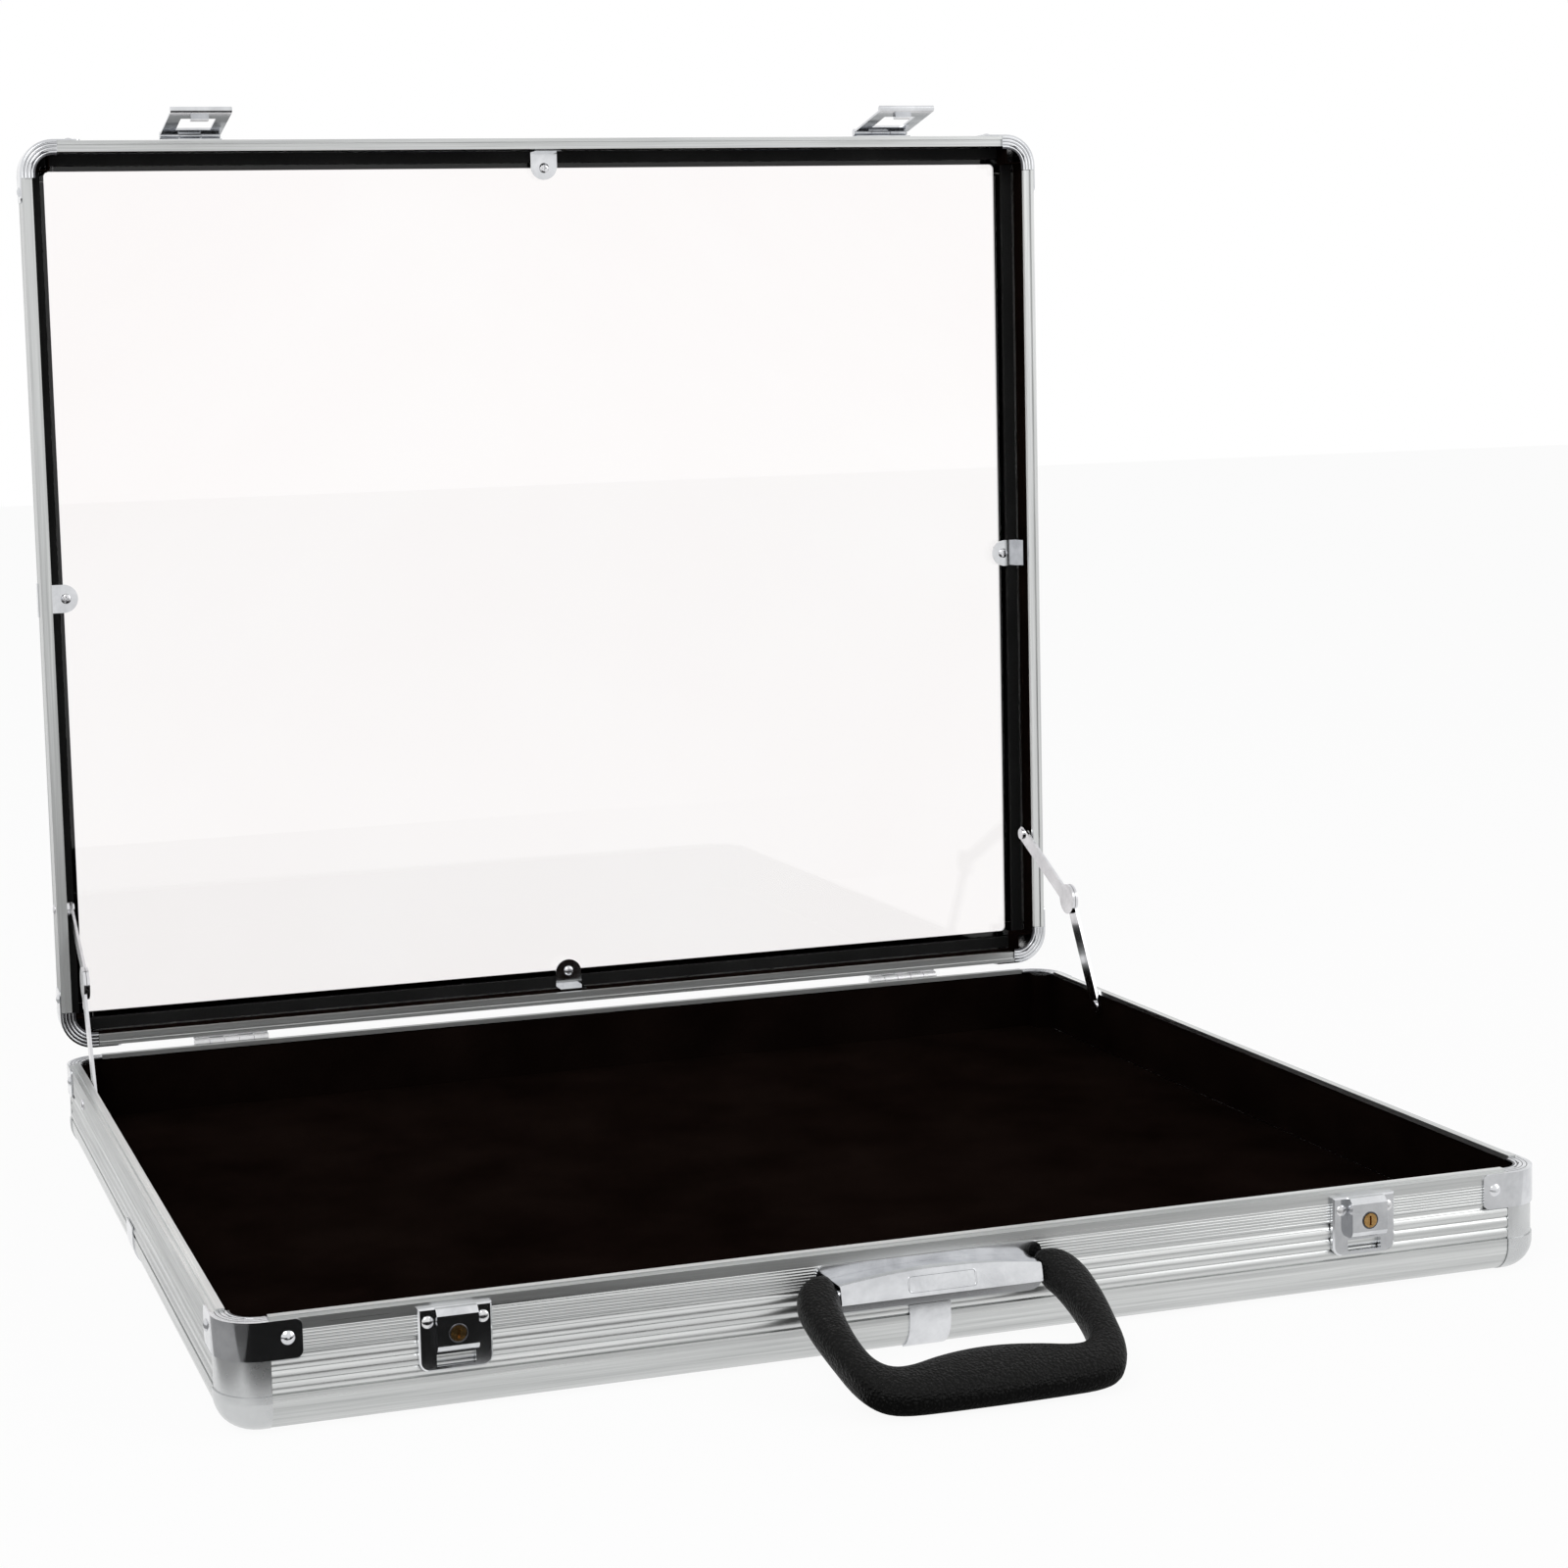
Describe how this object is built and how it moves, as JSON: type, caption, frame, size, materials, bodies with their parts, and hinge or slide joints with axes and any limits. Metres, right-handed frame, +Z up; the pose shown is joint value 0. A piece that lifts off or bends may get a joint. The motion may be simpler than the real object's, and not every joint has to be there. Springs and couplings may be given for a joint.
{
  "type": "display case",
  "caption": "Shallow aluminium display case with a hinged glazed lid, folding lid stays, key-locked hasps and a folding carrying handle over a felt-lined base.",
  "frame": {"origin": "middle of the case's underside, on the plane it rests on", "axes": "+X along the front to the right, +Y from the front wall to the hinges, +Z up"},
  "size_m": [0.6142, 0.6196, 0.5751],
  "materials": {
    "frame_aluminium": "satin anodised extrusion",
    "bright_chrome": "polished plating",
    "lock_brass": "polished",
    "stay_steel": "zinc plated",
    "black_felt": "felt",
    "panel_board": "black faced hardboard",
    "clear_glass": "clear float glass",
    "black_rubber": "matt",
    "grip_plastic": "pebble grained"
  },
  "bodies": {
    "base": {"base_ball_corners": "bright_chrome", "base_corner_posts": "frame_aluminium", "base_corner_rivets": "bright_chrome", "base_liner_boards": "black_felt", "base_rim_clips": "bright_chrome", "base_strap_clips": "bright_chrome", "base_wall_back": "frame_aluminium", "base_wall_front": "frame_aluminium", "base_wall_left": "frame_aluminium", "base_wall_right": "frame_aluminium", "bottom_panel": "panel_board", "display_pad": "black_felt", "handle_back_plate": "bright_chrome", "handle_bracket": "bright_chrome", "handle_pins": "bright_chrome", "hinge_base_leaf_left": "bright_chrome", "hinge_base_leaf_right": "bright_chrome", "hinge_pin_left": "bright_chrome", "hinge_pin_right": "bright_chrome", "lock_cover_left": "bright_chrome", "lock_cover_right": "bright_chrome", "lock_plate_left": "bright_chrome", "lock_plate_right": "bright_chrome", "stay_base_pivot_left": "stay_steel", "stay_base_pivot_right": "stay_steel"},
    "lid": {"glass_clips": "bright_chrome", "glass_pane": "clear_glass", "glazing_gasket": "black_rubber", "hasp_pin_left": "bright_chrome", "hasp_pin_right": "bright_chrome", "hasp_plate_left": "bright_chrome", "hasp_plate_right": "bright_chrome", "hinge_lid_leaf_left": "bright_chrome", "hinge_lid_leaf_right": "bright_chrome", "lid_ball_corners": "bright_chrome", "lid_corner_posts": "frame_aluminium", "lid_corner_rivets": "bright_chrome", "lid_liner_boards": "black_felt", "lid_rim_clips": "bright_chrome", "lid_strap_clips": "bright_chrome", "lid_wall_back": "frame_aluminium", "lid_wall_front": "frame_aluminium", "lid_wall_left": "frame_aluminium", "lid_wall_right": "frame_aluminium", "stay_lid_pivot_left": "stay_steel", "stay_lid_pivot_right": "stay_steel"},
    "hasp_left": {"hasp_flap_left": "bright_chrome"},
    "key_left": {"key_cylinder_left": "lock_brass"},
    "stay_lower_left": {"stay_lower_arm_left": "stay_steel"},
    "stay_upper_left": {"stay_upper_arm_left": "stay_steel"},
    "hasp_right": {"hasp_flap_right": "bright_chrome"},
    "key_right": {"key_cylinder_right": "lock_brass"},
    "stay_lower_right": {"stay_lower_arm_right": "stay_steel"},
    "stay_upper_right": {"stay_upper_arm_right": "stay_steel"},
    "handle": {"handle_grip": "grip_plastic"}
  },
  "joints": [
    {"name": "lid_hinge", "type": "hinge", "parent": "base", "child": "lid", "pos_m": [0, 0.258, 0.048], "axis": [-1, 0, 0], "range_deg": [-90, 0]},
    {"name": "hasp_left_hinge", "type": "hinge", "parent": "lid", "child": "hasp_left", "pos_m": [-0.209, 0.2685, 0.5635], "axis": [-1, 0, 0], "range_deg": [-12, 120]},
    {"name": "key_left_turn", "type": "hinge", "parent": "base", "child": "key_left", "pos_m": [-0.209, -0.2613, 0.036], "axis": [0, -1, 0], "range_deg": [0, 90]},
    {"name": "stay_lower_left_pivot", "type": "hinge", "parent": "base", "child": "stay_lower_left", "pos_m": [-0.29795, 0.175, 0.039], "axis": [-1, 0, 0], "range_deg": [-109.2, 0]},
    {"name": "stay_upper_left_pivot", "type": "hinge", "parent": "lid", "child": "stay_upper_left", "pos_m": [-0.29615, 0.2675, 0.1305], "axis": [-1, 0, 0], "range_deg": [0, 111.7]},
    {"name": "hasp_right_hinge", "type": "hinge", "parent": "lid", "child": "hasp_right", "pos_m": [0.209, 0.2685, 0.5635], "axis": [-1, 0, 0], "range_deg": [-12, 120]},
    {"name": "key_right_turn", "type": "hinge", "parent": "base", "child": "key_right", "pos_m": [0.209, -0.2613, 0.036], "axis": [0, -1, 0], "range_deg": [0, 90]},
    {"name": "stay_lower_right_pivot", "type": "hinge", "parent": "base", "child": "stay_lower_right", "pos_m": [0.29795, 0.175, 0.039], "axis": [-1, 0, 0], "range_deg": [-109.2, 0]},
    {"name": "stay_upper_right_pivot", "type": "hinge", "parent": "lid", "child": "stay_upper_right", "pos_m": [0.29615, 0.2675, 0.1305], "axis": [-1, 0, 0], "range_deg": [0, 111.7]},
    {"name": "handle_hinge", "type": "hinge", "parent": "base", "child": "handle", "pos_m": [0, -0.2636, 0.0325], "axis": [-1, 0, 0], "range_deg": [-62, 105]}
  ],
  "couplings": [
    {"joint": "stay_lower_left_pivot", "follows": "lid_hinge", "ratio": 1.2113},
    {"joint": "stay_upper_left_pivot", "follows": "lid_hinge", "ratio": -1.2388},
    {"joint": "stay_lower_right_pivot", "follows": "lid_hinge", "ratio": 1.2113},
    {"joint": "stay_upper_right_pivot", "follows": "lid_hinge", "ratio": -1.2388}
  ]
}
